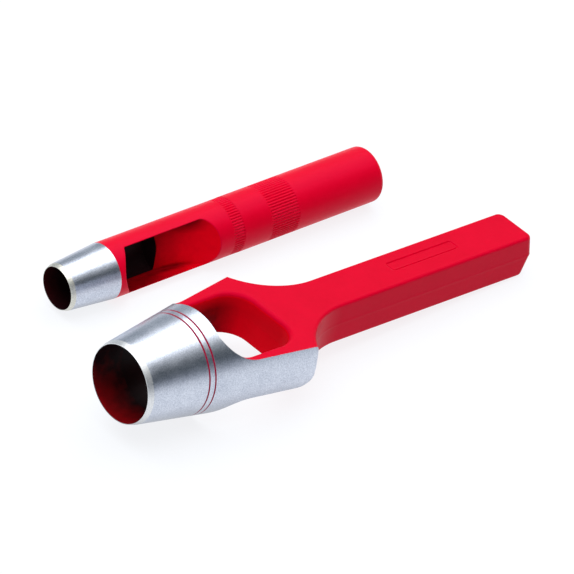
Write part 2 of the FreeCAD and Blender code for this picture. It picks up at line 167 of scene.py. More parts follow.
@dataclass
class Contour:
    """Turns a solid that is given by a distance field into a mesh with crisp edges."""

    cell: Triple
    margin: float = 2.5
    stiffness: float = 0.02
    calm_above: float = 0.97

    def mesh(self, field: Distance, low: tuple, high: tuple) -> tuple[np.ndarray, np.ndarray]:
        """Finds one vertex for each cell that the surface passes through.

        Args:
            field: Signed distance, negative inside.
            low: Lowest corner of a box that holds the solid.
            high: Highest corner of that box.

        Returns:
            Vertices, and quads that point outwards.
        """
        size = np.array(self.cell)
        start = np.array(low, float) - self.margin * size
        counts = np.ceil((np.array(high, float) + self.margin * size - start) / size).astype(int) + 1
        axes = [start[a] + size[a] * np.arange(counts[a]) for a in range(3)]
        grid = np.stack(np.meshgrid(*axes, indexing="ij"), -1)
        value = field(grid)
        points, normals, quads = [], [], []
        for axis in range(3):
            found = self._crossings(field, grid, value, axis)
            points.append(found[0])
            normals.append(found[1])
            quads.append(found[2])
        hit = np.concatenate(points)
        normal = np.concatenate(normals)
        quad = np.concatenate(quads)
        cells, number = np.unique(quad.ravel(), return_inverse=True)
        number = number.reshape(quad.shape)
        corner = np.stack(np.unravel_index(cells, counts), -1) * size + start
        verts = self._settle(field, corner, number, hit, normal)
        return verts, number

    def _crossings(
        self, field: Distance, grid: np.ndarray, value: np.ndarray, axis: int
    ) -> tuple[np.ndarray, np.ndarray, np.ndarray]:
        """Points and normals where the grid's edges along one axis cross the surface, with their cells.

        Args:
            field: Signed distance.
            grid: The grid's points.
            value: The distance at each of them.
            axis: The direction of the edges.

        Returns:
            Crossing points, their normals, and the four cells round each edge.
        """
        low = [slice(None)] * 3
        high = [slice(None)] * 3
        low[axis] = slice(0, -1)
        high[axis] = slice(1, None)
        index = np.argwhere((value[tuple(low)] < 0) != (value[tuple(high)] < 0))
        beyond = index.copy()
        beyond[:, axis] += 1
        first = value[tuple(index.T)]
        last = value[tuple(beyond.T)]
        origin = grid[tuple(index.T)]
        step = np.zeros(3)
        step[axis] = self.cell[axis]
        t0, t1, f0, f1 = np.zeros(len(index)), np.ones(len(index)), first.copy(), last.copy()
        for _ in range(4):
            # A guess between the two ends, kept a little away from both
            t = t0 + (t1 - t0) * np.clip(f0 / (f0 - f1), 0.02, 0.98)
            f = field(origin + t[:, None] * step)
            same = (f < 0) == (f0 < 0)
            t0, f0 = np.where(same, t, t0), np.where(same, f, f0)
            t1, f1 = np.where(same, t1, t), np.where(same, f1, f)
        t = t0 + (t1 - t0) * f0 / (f0 - f1)
        hit = origin + t[:, None] * step
        u, v = (axis + 1) % 3, (axis + 2) % 3
        around = []
        for du, dv in ((-1, -1), (0, -1), (0, 0), (-1, 0)):
            cell = index.copy()
            cell[:, u] += du
            cell[:, v] += dv
            around.append(np.ravel_multi_index(tuple(cell.T), value.shape))
        quad = np.stack(around, 1)
        quad = np.where((first < 0)[:, None], quad, quad[:, ::-1])
        return hit, gradient(field, hit), quad

    def _settle(
        self, field: Distance, corner: np.ndarray, number: np.ndarray, hit: np.ndarray, normal: np.ndarray
    ) -> np.ndarray:
        """Places each cell's vertex where the planes that cross the cell meet.

        Args:
            field: Signed distance.
            corner: Lowest corner of each cell.
            number: Cells round each crossing.
            hit: The crossing points.
            normal: The surface's normals there.

        Returns:
            One vertex for each cell.
        """
        count = len(corner)
        owner = number.ravel()
        point = np.repeat(hit, 4, axis=0)
        facing = np.repeat(normal, 4, axis=0)
        share = np.bincount(owner, minlength=count)[:, None]

        def total(values: np.ndarray) -> np.ndarray:
            """Sums rows of values over each cell."""
            return np.stack([np.bincount(owner, v, count) for v in values.T], 1)

        middle = total(point) / share
        offset = np.sum(facing * (point - middle[owner]), 1)
        pull = total(facing * offset[:, None])
        outer = total((facing[:, :, None] * facing[:, None, :]).reshape(-1, 9)).reshape(-1, 3, 3)
        shift = np.linalg.solve(outer + self.stiffness * np.eye(3), pull[:, :, None])[:, :, 0]
        verts = np.clip(middle + shift, corner, corner + np.array(self.cell))
        calm = np.linalg.norm(total(facing) / share, axis=1) > self.calm_above
        for _ in range(2):
            soft = verts[calm]
            verts[calm] = soft - field(soft)[:, None] * gradient(field, soft)
        return verts


def corner_normals(field: Distance, verts: np.ndarray, quads: np.ndarray) -> np.ndarray:
    """Shading normals that follow the field and break at its edges.

    Args:
        field: Signed distance that the mesh was made from.
        verts: The mesh's vertices.
        quads: The mesh's faces.

    Returns:
        One normal for each corner of each face.
    """
    corner = verts[quads]
    inner = corner + 0.3 * (corner.mean(1, keepdims=True) - corner)
    normal = gradient(field, inner)
    mean = np.zeros_like(verts)
    for k in range(4):
        for axis in range(3):
            mean[:, axis] += np.bincount(quads[:, k], normal[:, k, axis], len(verts))
    mean /= np.maximum(np.linalg.norm(mean, axis=1, keepdims=True), 1e-12)
    agree = np.sum(mean[quads] * normal, -1)
    worst = np.ones(len(verts))
    np.minimum.at(worst, quads.ravel(), agree.ravel())
    soft = worst > math.cos(SOFT_CORNER)
    return np.where(soft[quads][..., None], mean[quads], normal)


class Workshop:
    """Makes finished Blender objects out of meshes in a tool's own frame."""

    def __init__(self, lie: Lie, tool: Tool) -> None:
        """Keeps the tool's place and its body's name."""
        self.lie = lie
        self.tool = tool

    def piece(
        self,
        name: str,
        verts: np.ndarray,
        faces: np.ndarray | list,
        stands_for: tuple[str, ...],
        normals: np.ndarray | None = None,
    ) -> bpy.types.Object:
        """Adds a mesh object that rides on the tool and stands for CAD nodes.

        Args:
            name: The object's name.
            verts: Vertices in the tool's own frame, in millimetres.
            faces: Corner numbers of each face.
            stands_for: CAD nodes that the piece replaces.
            normals: Shading normals of the face corners, in the tool's own frame.

        Returns:
            The object, at the origin, with its place in its mesh.
        """
        mesh = bpy.data.meshes.new(name)
        faces = faces if isinstance(faces, list) else faces.tolist()
        mesh.from_pydata(self.lie.points(verts).tolist(), [], faces)
        mesh.shade_smooth()
        if normals is None:
            mesh.set_sharp_from_angle(angle=SHARP_EDGE)
        else:
            mesh.normals_split_custom_set(self.lie.directions(normals).reshape(-1, 3).tolist())
        obj = bpy.data.objects.new(name, mesh)
        bpy.context.scene.collection.objects.link(obj)
        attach(obj, self.tool.value)
        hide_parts(*stands_for)
        LOG.info("%s: %d faces", name, len(mesh.polygons))
        return obj

    def solid(
        self, name: str, field: Distance, box: tuple, cell: tuple, stands_for: tuple[str, ...], slot: Slot
    ) -> bpy.types.Object:
        """Adds a piece whose shape is given by a distance field inside a box."""
        verts, quads = Contour(cell).mesh(field, box[0], box[1])
        return self.piece(name, verts, quads, stands_for, corner_normals(field, verts, quads))

    def paint(self, obj: bpy.types.Object, materials: tuple, number: np.ndarray | None = None) -> None:
        """Gives an object its materials, and each face the number of its own.

        Args:
            obj: The object.
            materials: Its materials in order.
            number: Which of them each face has, or None for the first.
        """
        for material in materials:
            obj.data.materials.append(material)
        if number is not None:
            obj.data.polygons.foreach_set("material_index", number.astype(np.int32))

    def own_centres(self, obj: bpy.types.Object) -> np.ndarray:
        """Middles of an object's faces, in the tool's own frame.

        Args:
            obj: The object.

        Returns:
            One point for each face.
        """
        mesh = obj.data
        middle = np.empty(len(mesh.polygons) * 3)
        mesh.polygons.foreach_get("center", middle)
        back = np.array(self.lie.matrix().inverted())
        return middle.reshape(-1, 3) @ back[:3, :3].T + back[:3, 3]


def turned(profile: Profile, steps: int) -> tuple[np.ndarray, list]:
    """Turns a profile about the X axis.

    Args:
        profile: Points (x, radius), clockwise as seen with x to the right and radius up. It closes on
            itself, or starts and ends on the axis.
        steps: Faces round the axis.

    Returns:
        Vertices, and faces that point outwards.
    """
    solid = profile[0][1] == 0.0
    rings = profile[1:-1] if solid else profile
    angle = np.linspace(0.0, 2.0 * math.pi, steps, endpoint=False)
    x = np.repeat(np.array([p[0] for p in rings])[:, None], steps, 1)
    r = np.array([p[1] for p in rings])[:, None]
    verts = np.stack([x, r * np.cos(angle), r * np.sin(angle)], -1).reshape(-1, 3)
    number = np.arange(len(verts)).reshape(len(rings), steps)
    here = number[:-1] if solid else number
    there = number[1:] if solid else np.roll(number, -1, axis=0)
    faces = np.stack([here, np.roll(here, -1, axis=1), np.roll(there, -1, axis=1), there], -1)
    faces = faces.reshape(-1, 4).tolist()
    if solid:
        poles = np.array([(profile[0][0], 0.0, 0.0), (profile[-1][0], 0.0, 0.0)])
        front, rear = len(verts), len(verts) + 1
        verts = np.concatenate([verts, poles])
        first, last = number[0].tolist(), number[-1].tolist()
        faces += [[front, b, a] for a, b in zip(first, first[1:] + first[:1])]
        faces += [[rear, a, b] for a, b in zip(last, last[1:] + last[:1])]
    return verts, faces


def refine(profile: Profile, length: float) -> Profile:
    """Divides long runs of a profile that closes on itself or ends on the axis.

    Args:
        profile: The profile's points.
        length: Longest run that stays whole.

    Returns:
        The profile with more points on the same line.
    """
    out: Profile = []
    closed = profile[0][1] > 0.0
    for (x0, r0), (x1, r1) in zip(profile, profile[1:] + (profile[:1] if closed else [])):
        parts = max(1, math.ceil(math.hypot(x1 - x0, r1 - r0) / length))
        out += [(x0 + (x1 - x0) * k / parts, r0 + (r1 - r0) * k / parts) for k in range(parts)]
    return out if closed else out + profile[-1:]


class Value:
    """A shader socket that takes part in sums. Each operation adds one Math node."""

    def __init__(self, tree: "NodeWork", socket: bpy.types.NodeSocket) -> None:
        """Wraps a socket of a tree."""
        self.tree = tree
        self.socket = socket

    def _math(self, operation: str, *terms: "Value | float") -> "Value":
        """Adds a Math node."""
        return self.tree.value("ShaderNodeMath", {"operation": operation}, dict(enumerate(terms)))

    def __add__(self, other: "Value | float") -> "Value":
        """Sum."""
        return self._math("ADD", self, other)

    def __sub__(self, other: "Value | float") -> "Value":
        """Difference."""
        return self._math("SUBTRACT", self, other)

    def __mul__(self, other: "Value | float") -> "Value":
        """Product."""
        return self._math("MULTIPLY", self, other)

    def __truediv__(self, other: "Value | float") -> "Value":
        """Quotient."""
        return self._math("DIVIDE", self, other)

    def __rsub__(self, other: float) -> "Value":
        """Difference, number first."""
        return self._math("SUBTRACT", other, self)

    def __rtruediv__(self, other: float) -> "Value":
        """Quotient, number first."""
        return self._math("DIVIDE", other, self)

    def __pow__(self, other: float) -> "Value":
        """Power."""
        return self._math("POWER", self, other)

    def __neg__(self) -> "Value":
        """Opposite."""
        return self._math("MULTIPLY", self, -1.0)

    def __abs__(self) -> "Value":
        """Size without its sign."""
        return self._math("ABSOLUTE", self)

    __radd__ = __add__
    __rmul__ = __mul__

    def more_of(self, other: "Value | float") -> "Value":
        """The greater of two values."""
        return self._math("MAXIMUM", self, other)

    def less_of(self, other: "Value | float") -> "Value":
        """The lesser of two values."""
        return self._math("MINIMUM", self, other)

    def clamped(self) -> "Value":
        """The value held between 0 and 1."""
        return self.more_of(0.0).less_of(1.0)

    def sine(self) -> "Value":
        """Sine of an angle in radians."""
        return self._math("SINE", self)

    def cosine(self) -> "Value":
        """Cosine of an angle in radians."""
        return self._math("COSINE", self)


class NodeWork:
    """Adds nodes to a tree and links them."""

    def __init__(self, tree: bpy.types.NodeTree) -> None:
        """Keeps the tree's nodes and links."""
        self.nodes = tree.nodes
        self.links = tree.links

    def add(self, kind: str, settings: dict, inputs: dict, output: int | str = 0) -> bpy.types.NodeSocket:
        """Adds any node.

        Args:
            kind: The node's type.
            settings: The node's own settings, or "stops" for a ramp: (place, colour) pairs.
            inputs: Values, sockets or wrapped sockets, by input name or number.
            output: The output that is wanted.

        Returns:
            That output socket.
        """
        node = self.nodes.new(kind)
        for key, setting in settings.items():
            if key == "stops":
                ramp = node.color_ramp
                while len(ramp.elements) < len(setting):
                    ramp.elements.new(0.5)
                for element, (place, colour) in zip(ramp.elements, setting):
                    element.position = place
                    element.color = colour
            else:
                setattr(node, key, setting)
        for key, value in inputs.items():
            self._feed(node.inputs[key], value)
        return node.outputs[output]

    def _feed(self, socket: bpy.types.NodeSocket, value: object) -> None:
        """Links a socket, or sets it to a constant.

        Args:
            socket: The input.
            value: A wrapped socket, a socket or a constant.
        """
        if isinstance(value, Value):
            value = value.socket
        if isinstance(value, bpy.types.NodeSocket):
            self.links.new(value, socket)
        else:
            socket.default_value = value

    def value(self, kind: str, settings: dict, inputs: dict, output: int | str = 0) -> Value:
        """Adds any node and wraps its output for sums."""
        return Value(self, self.add(kind, settings, inputs, output))


class Tree(NodeWork):
    """The node tree of a material or of the surroundings."""

    def __init__(
        self, owner: bpy.types.Material | bpy.types.World, shader: str = "Principled BSDF"
    ) -> None:
        """Starts on the owner's own shader.

        Args:
            owner: A material or the surroundings.
            shader: Name of the shader node that it starts with.
        """
        owner.use_nodes = True
        super().__init__(owner.node_tree)
        self.owner = owner
        self.shader = self.nodes[shader]

    def place(self, lie: Lie | None = None) -> bpy.types.NodeSocket:
        """Object coordinates in millimetres, in the row frame or turned to a tool's own frame.

        Args:
            lie: The tool's lie, or None for the row frame.

        Returns:
            The socket with the place.
        """
        here = self.add("ShaderNodeTexCoord", {}, {}, "Object")
        if lie is None:
            return self.add("ShaderNodeVectorMath", {"operation": "SCALE"}, {0: here, "Scale": 1000.0})
        back = lie.matrix().inverted()
        inputs = {"Vector": here, "Location": back.to_translation()}
        inputs |= {"Rotation": back.to_euler("XYZ"), "Scale": back.to_scale()}
        return self.add("ShaderNodeMapping", {"vector_type": "POINT"}, inputs)

    def axes(self, where: bpy.types.NodeSocket) -> list[Value]:
        """Splits a place into its three coordinates."""
        return [self.value("ShaderNodeSeparateXYZ", {}, {"Vector": where}, axis) for axis in "XYZ"]

    def ramp(self, factor: Value, stops: tuple) -> bpy.types.NodeSocket:
        """Runs through colours, each given with its place."""
        stops = tuple((place, (*colour, 1.0)) for place, colour in stops)
        return self.add("ShaderNodeValToRGB", {"stops": stops}, {"Fac": factor}, "Color")

    def noise(
        self, where: bpy.types.NodeSocket, scale: float, detail: float = 2.0, rough: float = 0.5
    ) -> Value:
        """Noise from 0 to 1. The scale counts its cells in each millimetre."""
        inputs = {"Vector": where, "Scale": scale, "Detail": detail, "Roughness": rough}
        return self.value("ShaderNodeTexNoise", {}, inputs, "Fac")

    def mix(self, factor: Value | float, low: object, high: object) -> bpy.types.NodeSocket:
        """Mixes two colours."""
        return self.add("ShaderNodeMix", {"data_type": "RGBA"}, {0: factor, 6: low, 7: high}, 2)

    def bump(self, layers: list[tuple[Value, float]]) -> bpy.types.NodeSocket:
        """Stacks height patterns, each with its depth in millimetres.

        Args:
            layers: Height patterns, each with its depth.

        Returns:
            The socket with the bent normal.
        """
        normal: bpy.types.NodeSocket | None = None
        for height, depth in layers:
            inputs: dict = {"Height": height, "Strength": 1.0, "Distance": depth / 1000.0}
            if normal is not None:
                inputs["Normal"] = normal
            normal = self.add("ShaderNodeBump", {}, inputs, "Normal")
        return normal

    def finish(self, **inputs: object) -> bpy.types.Material | bpy.types.World:
        """Feeds the shader. Underscores in the names stand for spaces.

        Args:
            inputs: What each input of the shader gets.

        Returns:
            The material or surroundings, ready for use.
        """
        for name, value in inputs.items():
            self._feed(self.shader.inputs[name.replace("_", " ")], value)
        return self.owner


@dataclass(frozen=True)
class GroundSteel:
    """Bare steel, ground round the axis, with a fine satin speckle."""

    colour: Colour = (0.70, 0.74, 0.83, 1.0)
    dull: Colour = (0.42, 0.46, 0.55, 1.0)
    # Colour of the painted shade on the underside
    painted_shade_below: Colour = (0.10, 0.12, 0.15, 1.0)
    painted_shade_start: float = 3.6
    painted_shade_fade: float = 0.10
    roughness: float = 0.29

    def material(self, name: str, lie: Lie) -> bpy.types.Material:
        """Builds the material for one tool, with painted shade darkening its underside.

        Args:
            name: The material's name.
            lie: The tool's lie.

        Returns:
            The material.
        """
        tree = Tree(bpy.data.materials.new(name))
        own = tree.place(lie)
        axis, across, height = tree.axes(own)
        roll = math.radians(lie.roll)
        # Painted shade: darker towards the underside, below a height in the tool's own frame
        drop = -(across * math.sin(roll) + height * math.cos(roll)) - self.painted_shade_start
        speckle = tree.noise(own, 2.4, 2.0, 0.6)
        cloud = tree.noise(own, 0.16, 2.0)
        lines = {"W": axis, "Scale": 9.0, "Detail": 2.0}
        grain = tree.value("ShaderNodeTexNoise", {"noise_dimensions": "1D"}, lines, "Fac")
        # Mostly speckle, with slow clouds and fine lines round the axis
        tone = ((speckle - 0.5) * 2.4 + (cloud - 0.5) * 0.7 + (grain - 0.5) * 0.3 + 0.55).clamped()
        colour = tree.mix(tone, self.dull, self.colour)
        colour = tree.mix((drop * self.painted_shade_fade).clamped() * 0.7, colour, self.painted_shade_below)
        rough = self.roughness + 0.10 * cloud + 0.16 * (speckle - 0.5)
        normal = tree.bump([(speckle, 0.020), (grain, 0.005)])
        return tree.finish(Base_Color=colour, Metallic=1.0, Roughness=rough, Normal=normal)


@dataclass(frozen=True)
class RedLacquer:
    """Thin glossy red lacquer over a forged or turned surface."""

    colour: Colour = (0.63, 0.0003, 0.021, 1.0)
    deep: Colour = (0.50, 0.0002, 0.013, 1.0)
    # Colour of the painted shade in hollows and on inner walls
    painted_shade_colour: Colour = (0.020, 0.0002, 0.0005, 1.0)
    roughness: float = 0.34
    forged: float = 0.08
    gloss: float = 0.065

    def material(self, name: str, painted_cavity_shade: "Callable[[Tree], Value] | None" = None) -> bpy.types.Material:
        """Builds the material, darkened by painted shade where a mask of it is given.

        Args:
            name: The material's name.
            painted_cavity_shade: Makes a mask of painted shade, from 0, unshaded, to 1, fully shaded.

        Returns:
            The material.
        """
        tree = Tree(bpy.data.materials.new(name))
        here = tree.place()
        broad = tree.noise(here, 0.10, 2.0)
        middle = tree.noise(here, 0.55, 2.0)
        fine = tree.noise(here, 3.2, 2.0)
        tone = (broad * 0.5 + middle * 0.4 + fine * 0.15).clamped()
        colour = tree.mix(tone, self.deep, self.colour)
        # Painted shade: darkens the colour where the mask is given
        if painted_cavity_shade is not None:
            colour = tree.mix(painted_cavity_shade(tree), colour, self.painted_shade_colour)
        rough = self.roughness + 0.10 * fine + 0.08 * middle - 0.09
        normal = tree.bump([(broad, self.forged), (middle, self.forged * 0.28), (fine, 0.010)])
        shine = {"Specular_IOR_Level": self.gloss, "Specular_Tint": (1.0, 0.15, 0.80, 1.0)}
        return tree.finish(Base_Color=colour, Roughness=rough, Normal=normal, **shine)


@dataclass(frozen=True)
class WallLacquer(RedLacquer):
    """The same lacquer on inner walls, where it is duller and a purer red, and painted lighter than
    outside as painted light on these less lit walls.
    """

    colour: Colour = (0.80, 0.0003, 0.010, 1.0)
    deep: Colour = (0.66, 0.0002, 0.006, 1.0)
    roughness: float = 0.5
    gloss: float = 0.02


@dataclass(frozen=True)
class BarrelLacquer(RedLacquer):
    """The same lacquer on a turned barrel, where it lies smoother."""

    colour: Colour = (0.67, 0.0003, 0.022, 1.0)
    deep: Colour = (0.56, 0.0002, 0.014, 1.0)
    roughness: float = 0.40
    forged: float = 0.03
    gloss: float = 0.12


@dataclass(frozen=True)
class DarkBore:
    """Inside of a bore: red near the mouth and below, and black further in, where painted shade covers it.
    """

    red: Colour = (0.26, 0.0008, 0.003, 1.0)
    black: Colour = (0.008, 0.0008, 0.002, 1.0)
    radius: float = 12.5
    roughness: float = 0.42

    def material(self, name: str, lie: Lie) -> bpy.types.Material:
        """Builds the material for one tool.

        Args:
            name: The material's name.
            lie: The tool's lie.

        Returns:
            The material.
        """
        tree = Tree(bpy.data.materials.new(name))
        own = tree.place(lie)
        depth, _, height = tree.axes(own)
        patch = tree.noise(own, 0.30, 3.0)
        # Painted shade: black deeper in and higher up, the red left near the mouth and on the lower wall
        below = 0.08 - height / self.radius * 0.80
        glow = ((1.0 - depth / self.radius) * below + (patch - 0.5) * 0.7).clamped()
        colour = tree.mix(glow, self.black, self.red)
        rough = self.roughness + 0.15 * patch
        normal = tree.bump([(patch, 0.04)])
        return tree.finish(Base_Color=colour, Roughness=rough, Normal=normal, Specular_IOR_Level=0.12)


@dataclass
class ArchPunch:
    """The arch punch: a ground cutting cup on a forged, lacquered arch and shank. Sizes in millimetres."""

    bore: float = 12.5
    relief: float = 13.5
    land: float = 12.0
    lip: float = 0.2
    bevel_length: float = 1.4
    bevel_radius: float = 13.21
    bevel_seen: float = 1.75
    taper: float = 0.149292
    cup: float = 28.4
    ring_places: tuple[float, float] = (21.5, 23.65)
    ring_width: float = 0.55
    ring_depth: float = 0.25
    thick: float = 7.2
    root: float = 11.5
    window_half: float = 14.6
    window_length: float = 30.8
    front_corner: float = 7.5
    rear_corner: float = 8.5
    edge: float = 1.0
    heel: float = 5.0
    heel_start: float = 66.0
    heel_end: float = 74.0
    rim: float = 1.2
    rear_rim: float = 1.8
    lower_rim: float = 0.4
    neck: float = 25.4
    neck_end: float = 83.577
    shank_half: float = 7.7
    flare: float = 0.0012
    draft: float = 0.01
    length: float = 167.15
    slope_above: float = 0.222
    slope_below: float = 0.32
    end_corner: float = 2.4
    arm_end: float = 50.0
    ground_end: float = 66.0
    arm_inner: float = 6.5
    reach: float = 22.6
    tall: float = 17.6
    shank_end: float = 148.15
    plate_middle: tuple[float, float] = (125.0, 0.9)
    plate_half: tuple[float, float] = (14.2, 2.3)
    plate_corner: float = 1.2
    plate_depth: float = 0.12
    groove_width: float = 0.7
    groove_depth: float = 0.35
    lie: Lie = Lie((-82.88478755, -21.50722759, 19.28008269), dip=4.2116935)

    def outside(self, place: np.ndarray | float) -> np.ndarray | float:
        """Radius of the turned outside at a place along the axis."""
        return self.bevel_radius + self.taper * (place - self.bevel_length)

    def cone(self, p: np.ndarray) -> np.ndarray:
        """Distance to the turned outside."""
        return (np.hypot(p[..., 1], p[..., 2]) - self.outside(p[..., 0])) / math.hypot(1.0, self.taper)

    def sides(self, p: np.ndarray) -> np.ndarray:
        """Distance to the shank's sides and the concave neck, with their draft and the parting line.

        Args:
            p: Points in the tool's own frame.

        Returns:
            Signed distance at each point, negative inside.
        """
        drop = self.draft * np.abs(p[..., 2]) - 0.05 * np.exp(-((p[..., 2] / 0.5) ** 2))
        flare = self.flare * np.maximum(p[..., 0] - self.neck_end, 0.0)
        across = np.abs(p[..., 1]) + drop - flare
        return -corner_cut(self.neck_end - p[..., 0], self.shank_half + self.neck - across, self.neck)

    def flats(self, p: np.ndarray) -> np.ndarray:
        """Distance to the flats above and below and to their run-outs into the cup.

        Args:
            p: Points in the tool's own frame.

        Returns:
            Signed distance at each point, negative inside.
        """
        along = self.cup + self.root - p[..., 0]
        height = np.abs(p[..., 2]) + np.where(p[..., 2] > 0, self.plate(p), 0.0)
        return -corner_cut(along, self.thick + self.root - height, self.root)

    def plate(self, p: np.ndarray) -> np.ndarray:
        """Depth of the sunk plate in the upper flat, deepest along its outline.

        Args:
            p: Points in the tool's own frame.

        Returns:
            Depth below the flat.
        """
        along = np.abs(p[..., 0] - self.plate_middle[0]) - self.plate_half[0]
        across = np.abs(p[..., 1] - self.plate_middle[1]) - self.plate_half[1]
        inward = -round_and(along, across, self.plate_corner) / self.groove_width
        groove = smooth_step(1.0 - np.abs(2.0 * inward - 1.0))
        return self.groove_depth * groove + self.plate_depth * smooth_step(inward - 0.5) * (1.0 - groove)

    def end(self, p: np.ndarray) -> np.ndarray:
        """Distance to the struck end, which slopes off above and below the parting line."""
        slope = np.where(p[..., 2] > 0, self.slope_above, self.slope_below)
        return (p[..., 0] + slope * np.abs(p[..., 2]) - self.length) / np.hypot(1.0, slope)

    def edge_radius(self, p: np.ndarray) -> np.ndarray:
        """Radius along the flats' edges, larger on the underside behind the arms."""
        near = 1.0 - smooth_step((p[..., 0] - self.heel_start) / (self.heel_end - self.heel_start))
        return self.edge + (self.heel - self.edge) * np.where(p[..., 2] < 0, near, 0.0)

    def rim_radius(self, p: np.ndarray) -> np.ndarray:
        """Radius along the window's rims, larger above and towards its rear.

        Args:
            p: Points in the tool's own frame.

        Returns:
            Radius at each point.
        """
        ahead = (p[..., 0] - self.cup) / self.window_length
        above = self.rim + (self.rear_rim - self.rim) * smooth_step(2.0 * ahead - 1.0)
        return np.where(p[..., 2] > 0, above, self.lower_rim)

    def window(self, p: np.ndarray) -> np.ndarray:
        """Distance to the window, negative inside it.

        Args:
            p: Points in the tool's own frame.

        Returns:
            Signed distance at each point, negative inside.
        """
        middle = self.cup + self.window_length / 2
        spread = 0.02 * np.abs(p[..., 2])
        ahead = p[..., 0] - middle
        corner = np.where(ahead < 0, self.front_corner, self.rear_corner)
        lower_rear = 0.12 * np.where(ahead > 0, np.maximum(-p[..., 2], 0.0), 0.0)
        along = np.abs(ahead) - self.window_length / 2 - spread + lower_rear + corner
        across = np.abs(p[..., 1]) - self.window_half - spread + corner
        outside = np.hypot(np.maximum(along, 0), np.maximum(across, 0))
        return outside + np.minimum(np.maximum(along, across), 0) - corner

    def hollow(self, p: np.ndarray) -> np.ndarray:
        """Distance to the bore where it runs out into the window."""
        ahead = p[..., 0] - self.cup - self.front_corner
        return np.maximum(np.hypot(p[..., 1], p[..., 2]) - self.relief, ahead)

    def body(self, p: np.ndarray) -> np.ndarray:
        """Distance to the whole forging behind the cup.

        Args:
            p: Points in the tool's own frame.

        Returns:
            Signed distance at each point, negative inside.
        """
        solid = round_and(self.sides(p), self.end(p), self.end_corner)
        solid = round_and(solid, self.flats(p), self.edge_radius(p))
        solid = round_and(solid, -self.window(p), self.rim_radius(p))
        solid = np.maximum(solid, self.cone(p))
        return np.maximum(solid, -self.hollow(p))

    def between(self, front: float, rear: float, side: int = 0) -> Distance:
        """The forging between two places along it, and on one side of its axis if asked.

        Args:
            front: Place where the stretch starts.
            rear: Place where it ends.
            side: 1 or -1 for one arm, 0 for both sides.

        Returns:
            The distance field of that stretch.
        """

        def field(p: np.ndarray) -> np.ndarray:
            """Distance to that stretch."""
            part = np.maximum(self.body(p), np.maximum(front - p[..., 0], p[..., 0] - rear))
            return np.maximum(part, -side * p[..., 1]) if side else part

        return field

    def cup_profile(self) -> Profile:
        """Profile of the cutting cup, with the two ring grooves.

        Returns:
            Points that close on themselves.
        """
        seen = self.bevel_seen
        points = [
            (self.cup, self.relief),
            (self.land, self.relief),
            (self.land, self.bore),
            (0.0, self.bore),
            (0.0, self.bore + self.lip),
            (seen - 0.1, self.outside(seen) - 0.06),
            (seen + 0.15, self.outside(seen + 0.15)),
        ]
        for place in self.ring_places:
            behind = place + self.ring_width
            points += [
                (place - 0.05, self.outside(place - 0.05)),
                (place, self.outside(place) - 0.05),
                (place, self.outside(place) - self.ring_depth),
                (behind, self.outside(behind) - self.ring_depth),
                (behind, self.outside(behind) - 0.05),
                (behind + 0.05, self.outside(behind + 0.05)),
            ]
        points.append((self.cup, self.outside(self.cup)))
        return refine(points, 1.2)

    def build(self) -> dict[str, bpy.types.Object]:
        """Makes the cup and the pieces of the forging.

        Returns:
            The pieces by name.
        """
        shop = Workshop(self.lie, Tool.ARCH)
        verts, quads = turned(self.cup_profile(), 400)
        made = {"cup": shop.piece("cutting_cup", verts, quads, ("arch_cutting_cup",))}
        for side, name in ((1, "far_arm"), (-1, "near_arm")):
            inner, outer = sorted((side * self.arm_inner, side * self.reach))
            box = ((self.cup, inner, -self.tall), (self.arm_end, outer, self.tall))
            field = self.between(self.cup, self.arm_end, side)
            made[name] = shop.solid(name, field, box, (0.25, 0.25, 0.25), ("arch_" + name,), Slot.LACQUER)
        rest = (
            ("bridge", self.arm_end, self.neck_end, self.reach, (0.26, 0.26, 0.26), "arch_bridge"),
            ("shank", self.neck_end, self.shank_end, 8.4, (0.36, 0.15, 0.26), "arch_shank"),
            ("struck_end", self.shank_end, self.length, 8.6, (0.20, 0.20, 0.20), "arch_striking_end"),
        )
        for name, front, rear, wide, cell, node in rest:
            box = ((front, -wide, -self.thick - 0.2), (rear, wide, self.thick + 0.2))
            made[name] = shop.solid(name, self.between(front, rear), box, cell, (node,), Slot.LACQUER)
        return made

    def painted_cavity_shade(self, tree: Tree) -> Value:
        """Mask of painted shade on the window's walls, where the lacquer darkens towards the bore.

        Args:
            tree: The material's tree.

        Returns:
            0 on the open lacquer, near 1 on the walls beside the cup.
        """
        own = tree.place(self.lie)
        along, across, height = tree.axes(own)
        # Painted shade deepens over 4.5 mm below the rim, and over 10 mm towards the far front corner
        painted_shade_below = ((self.thick - 0.6 - height) / 4.5).clamped()
        near_cup = ((self.cup + 20.6 - along + 0.9 * abs(across)) / 10.0).clamped()
        # Painted shade on the bore's own wall, where it runs out into the window
        radius = (across * across + height * height) ** 0.5
        bored = ((self.relief + 0.4 - radius) / 0.3).clamped()
        bored = bored * ((self.cup + 10.0 - along) / 4.0).clamped()
        patch = tree.noise(own, 0.22, 2.0)
        return ((painted_shade_below * (near_cup * 0.62 + 0.12)).more_of(bored) * (0.75 + 0.5 * patch)).clamped()

